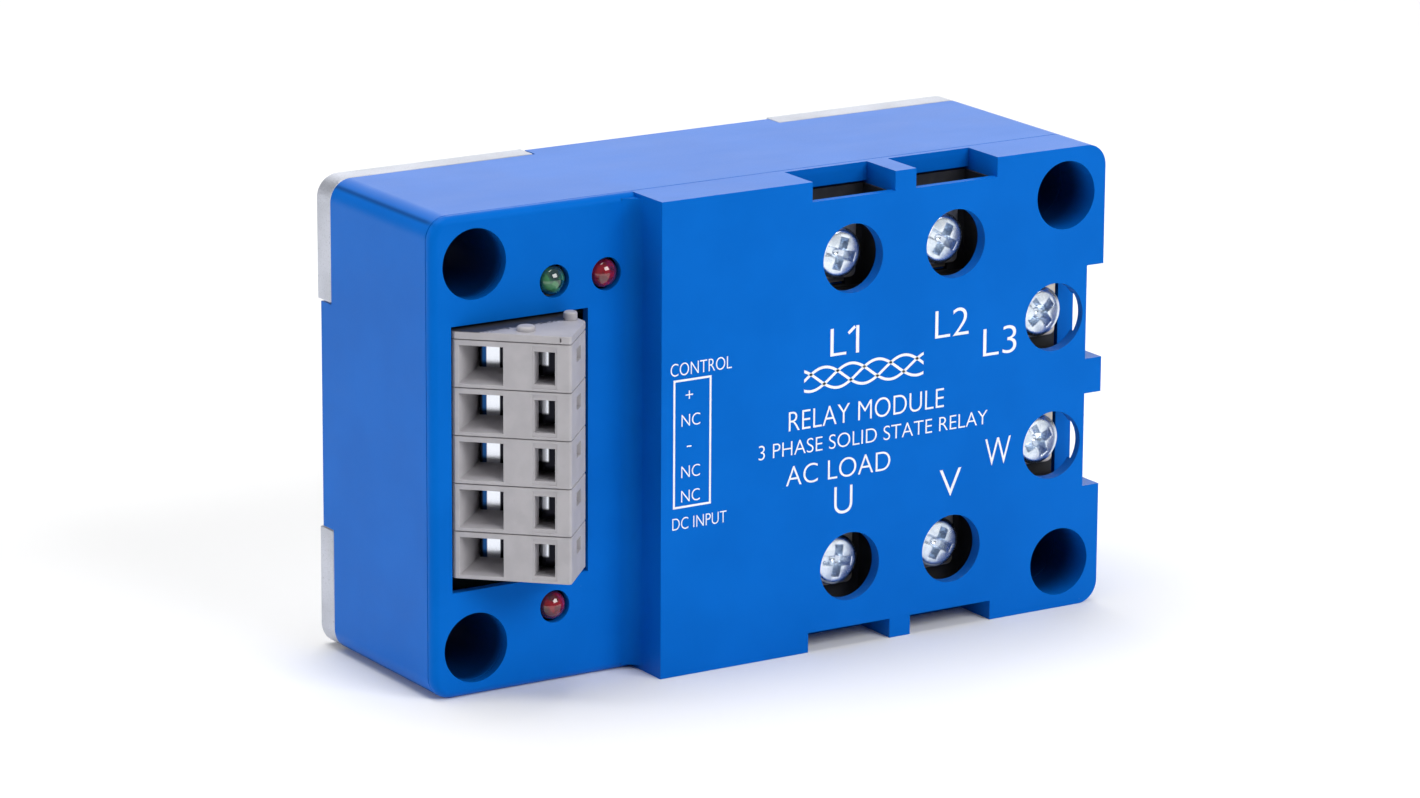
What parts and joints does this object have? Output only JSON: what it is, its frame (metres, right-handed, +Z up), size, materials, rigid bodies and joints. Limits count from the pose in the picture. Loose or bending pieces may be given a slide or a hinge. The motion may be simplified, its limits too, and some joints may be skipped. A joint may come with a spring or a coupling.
{
  "type": "three-phase solid state relay",
  "caption": "Panel-mount three-phase solid state relay: blue case on an aluminium plate, screw terminals under a raised cover, spring-clamp control terminal.",
  "frame": {"origin": "centre of the mounting face, the back of the base plate", "axes": "+X along the case from the control end to the L3/W end, +Y out of the back (the front faces -Y), +Z up as the part stands on its long side"},
  "size_m": [0.116, 0.0471, 0.074],
  "materials": {
    "case_plastic": "moulded, satin gloss",
    "bare_aluminium": "bead blasted",
    "plated_steel": "bright zinc plated",
    "tinned_copper": "tinned",
    "grey_plastic": "moulded polyamide",
    "spring_steel": "polished",
    "board": "solder mask",
    "ceramic": "fired alumina",
    "silicon": "die coating",
    "epoxy": "cast filling",
    "black_plastic": "moulded",
    "led_green": "clear lens",
    "led_red": "clear lens"
  },
  "bodies": {
    "root": {"base_plate": "bare_aluminium", "housing": "case_plastic", "front_cover": "case_plastic", "potting_fill": "epoxy", "control_board": "board", "status_led_power": "led_green", "status_led_phase": "led_red", "status_led_fault": "led_red", "control_end_plate": "grey_plastic", "ceramic_substrate_1": "ceramic", "thyristor_chip_1a": "silicon", "thyristor_chip_1b": "silicon", "opto_coupler_1": "black_plastic", "ceramic_substrate_2": "ceramic", "thyristor_chip_2a": "silicon", "thyristor_chip_2b": "silicon", "opto_coupler_2": "black_plastic", "ceramic_substrate_3": "ceramic", "thyristor_chip_3a": "silicon", "thyristor_chip_3b": "silicon", "opto_coupler_3": "black_plastic", "control_pole_1": "grey_plastic", "contact_bar_1": "tinned_copper", "control_pole_2": "grey_plastic", "contact_bar_2": "tinned_copper", "control_pole_3": "grey_plastic", "contact_bar_3": "tinned_copper", "control_pole_4": "grey_plastic", "contact_bar_4": "tinned_copper", "control_pole_5": "grey_plastic", "contact_bar_5": "tinned_copper", "busbar_L1": "tinned_copper", "terminal_nut_L1": "plated_steel", "busbar_L2": "tinned_copper", "terminal_nut_L2": "plated_steel", "busbar_L3": "tinned_copper", "terminal_nut_L3": "plated_steel", "busbar_U": "tinned_copper", "terminal_nut_U": "plated_steel", "busbar_V": "tinned_copper", "terminal_nut_V": "plated_steel", "busbar_W": "tinned_copper", "terminal_nut_W": "plated_steel"},
    "clamp_L1": {"clamp_plate_L1": "plated_steel"},
    "screw_L1": {"terminal_screw_L1": "plated_steel"},
    "clamp_L2": {"clamp_plate_L2": "plated_steel"},
    "screw_L2": {"terminal_screw_L2": "plated_steel"},
    "clamp_L3": {"clamp_plate_L3": "plated_steel"},
    "screw_L3": {"terminal_screw_L3": "plated_steel"},
    "clamp_U": {"clamp_plate_U": "plated_steel"},
    "screw_U": {"terminal_screw_U": "plated_steel"},
    "clamp_V": {"clamp_plate_V": "plated_steel"},
    "screw_V": {"terminal_screw_V": "plated_steel"},
    "clamp_W": {"clamp_plate_W": "plated_steel"},
    "screw_W": {"terminal_screw_W": "plated_steel"},
    "spring_1": {"clamp_spring_1": "spring_steel"},
    "spring_2": {"clamp_spring_2": "spring_steel"},
    "spring_3": {"clamp_spring_3": "spring_steel"},
    "spring_4": {"clamp_spring_4": "spring_steel"},
    "spring_5": {"clamp_spring_5": "spring_steel"}
  },
  "joints": [
    {"name": "clamp_lift_L1", "type": "slide", "parent": "root", "child": "clamp_L1", "axis": [0, -1, 0], "range_m": [0, 0.00298]},
    {"name": "screw_turn_L1", "type": "hinge", "parent": "clamp_L1", "child": "screw_L1", "pos_m": [0.0113, -0.0364, 0.0243], "axis": [0, -1, 0], "range_deg": [0, 1530]},
    {"name": "clamp_lift_L2", "type": "slide", "parent": "root", "child": "clamp_L2", "axis": [0, -1, 0], "range_m": [0, 0.00298]},
    {"name": "screw_turn_L2", "type": "hinge", "parent": "clamp_L2", "child": "screw_L2", "pos_m": [0.0301, -0.0364, 0.0243], "axis": [0, -1, 0], "range_deg": [0, 1530]},
    {"name": "clamp_lift_L3", "type": "slide", "parent": "root", "child": "clamp_L3", "axis": [0, -1, 0], "range_m": [0, 0.00298]},
    {"name": "screw_turn_L3", "type": "hinge", "parent": "clamp_L3", "child": "screw_L3", "pos_m": [0.0488, -0.0364, 0.0103], "axis": [0, -1, 0], "range_deg": [0, 1530]},
    {"name": "clamp_lift_U", "type": "slide", "parent": "root", "child": "clamp_U", "axis": [0, -1, 0], "range_m": [0, 0.00298]},
    {"name": "screw_turn_U", "type": "hinge", "parent": "clamp_U", "child": "screw_U", "pos_m": [0.0113, -0.0364, -0.0243], "axis": [0, -1, 0], "range_deg": [0, 1530]},
    {"name": "clamp_lift_V", "type": "slide", "parent": "root", "child": "clamp_V", "axis": [0, -1, 0], "range_m": [0, 0.00298]},
    {"name": "screw_turn_V", "type": "hinge", "parent": "clamp_V", "child": "screw_V", "pos_m": [0.0301, -0.0364, -0.0243], "axis": [0, -1, 0], "range_deg": [0, 1530]},
    {"name": "clamp_lift_W", "type": "slide", "parent": "root", "child": "clamp_W", "axis": [0, -1, 0], "range_m": [0, 0.00298]},
    {"name": "screw_turn_W", "type": "hinge", "parent": "clamp_W", "child": "screw_W", "pos_m": [0.0488, -0.0364, -0.0103], "axis": [0, -1, 0], "range_deg": [0, 1530]},
    {"name": "spring_open_1", "type": "hinge", "parent": "root", "child": "spring_1", "pos_m": [-0.03972, -0.0402, 0.01498], "axis": [0, 0, -1], "range_deg": [0, 8], "stiffness_Nm_per_rad": 0.35, "springref_deg": -14.32},
    {"name": "spring_open_2", "type": "hinge", "parent": "root", "child": "spring_2", "pos_m": [-0.03972, -0.0402, 0.00762], "axis": [0, 0, -1], "range_deg": [0, 8], "stiffness_Nm_per_rad": 0.35, "springref_deg": -14.32},
    {"name": "spring_open_3", "type": "hinge", "parent": "root", "child": "spring_3", "pos_m": [-0.03972, -0.0402, 0.00028], "axis": [0, 0, -1], "range_deg": [0, 8], "stiffness_Nm_per_rad": 0.35, "springref_deg": -14.32},
    {"name": "spring_open_4", "type": "hinge", "parent": "root", "child": "spring_4", "pos_m": [-0.03972, -0.0402, -0.00707], "axis": [0, 0, -1], "range_deg": [0, 8], "stiffness_Nm_per_rad": 0.35, "springref_deg": -14.32},
    {"name": "spring_open_5", "type": "hinge", "parent": "root", "child": "spring_5", "pos_m": [-0.03972, -0.0402, -0.01443], "axis": [0, 0, -1], "range_deg": [0, 8], "stiffness_Nm_per_rad": 0.35, "springref_deg": -14.32}
  ],
  "couplings": [
    {"joint": "screw_turn_L1", "follows": "clamp_lift_L1", "rad_per_m": 8976},
    {"joint": "screw_turn_L2", "follows": "clamp_lift_L2", "rad_per_m": 8976},
    {"joint": "screw_turn_L3", "follows": "clamp_lift_L3", "rad_per_m": 8976},
    {"joint": "screw_turn_U", "follows": "clamp_lift_U", "rad_per_m": 8976},
    {"joint": "screw_turn_V", "follows": "clamp_lift_V", "rad_per_m": 8976},
    {"joint": "screw_turn_W", "follows": "clamp_lift_W", "rad_per_m": 8976}
  ]
}
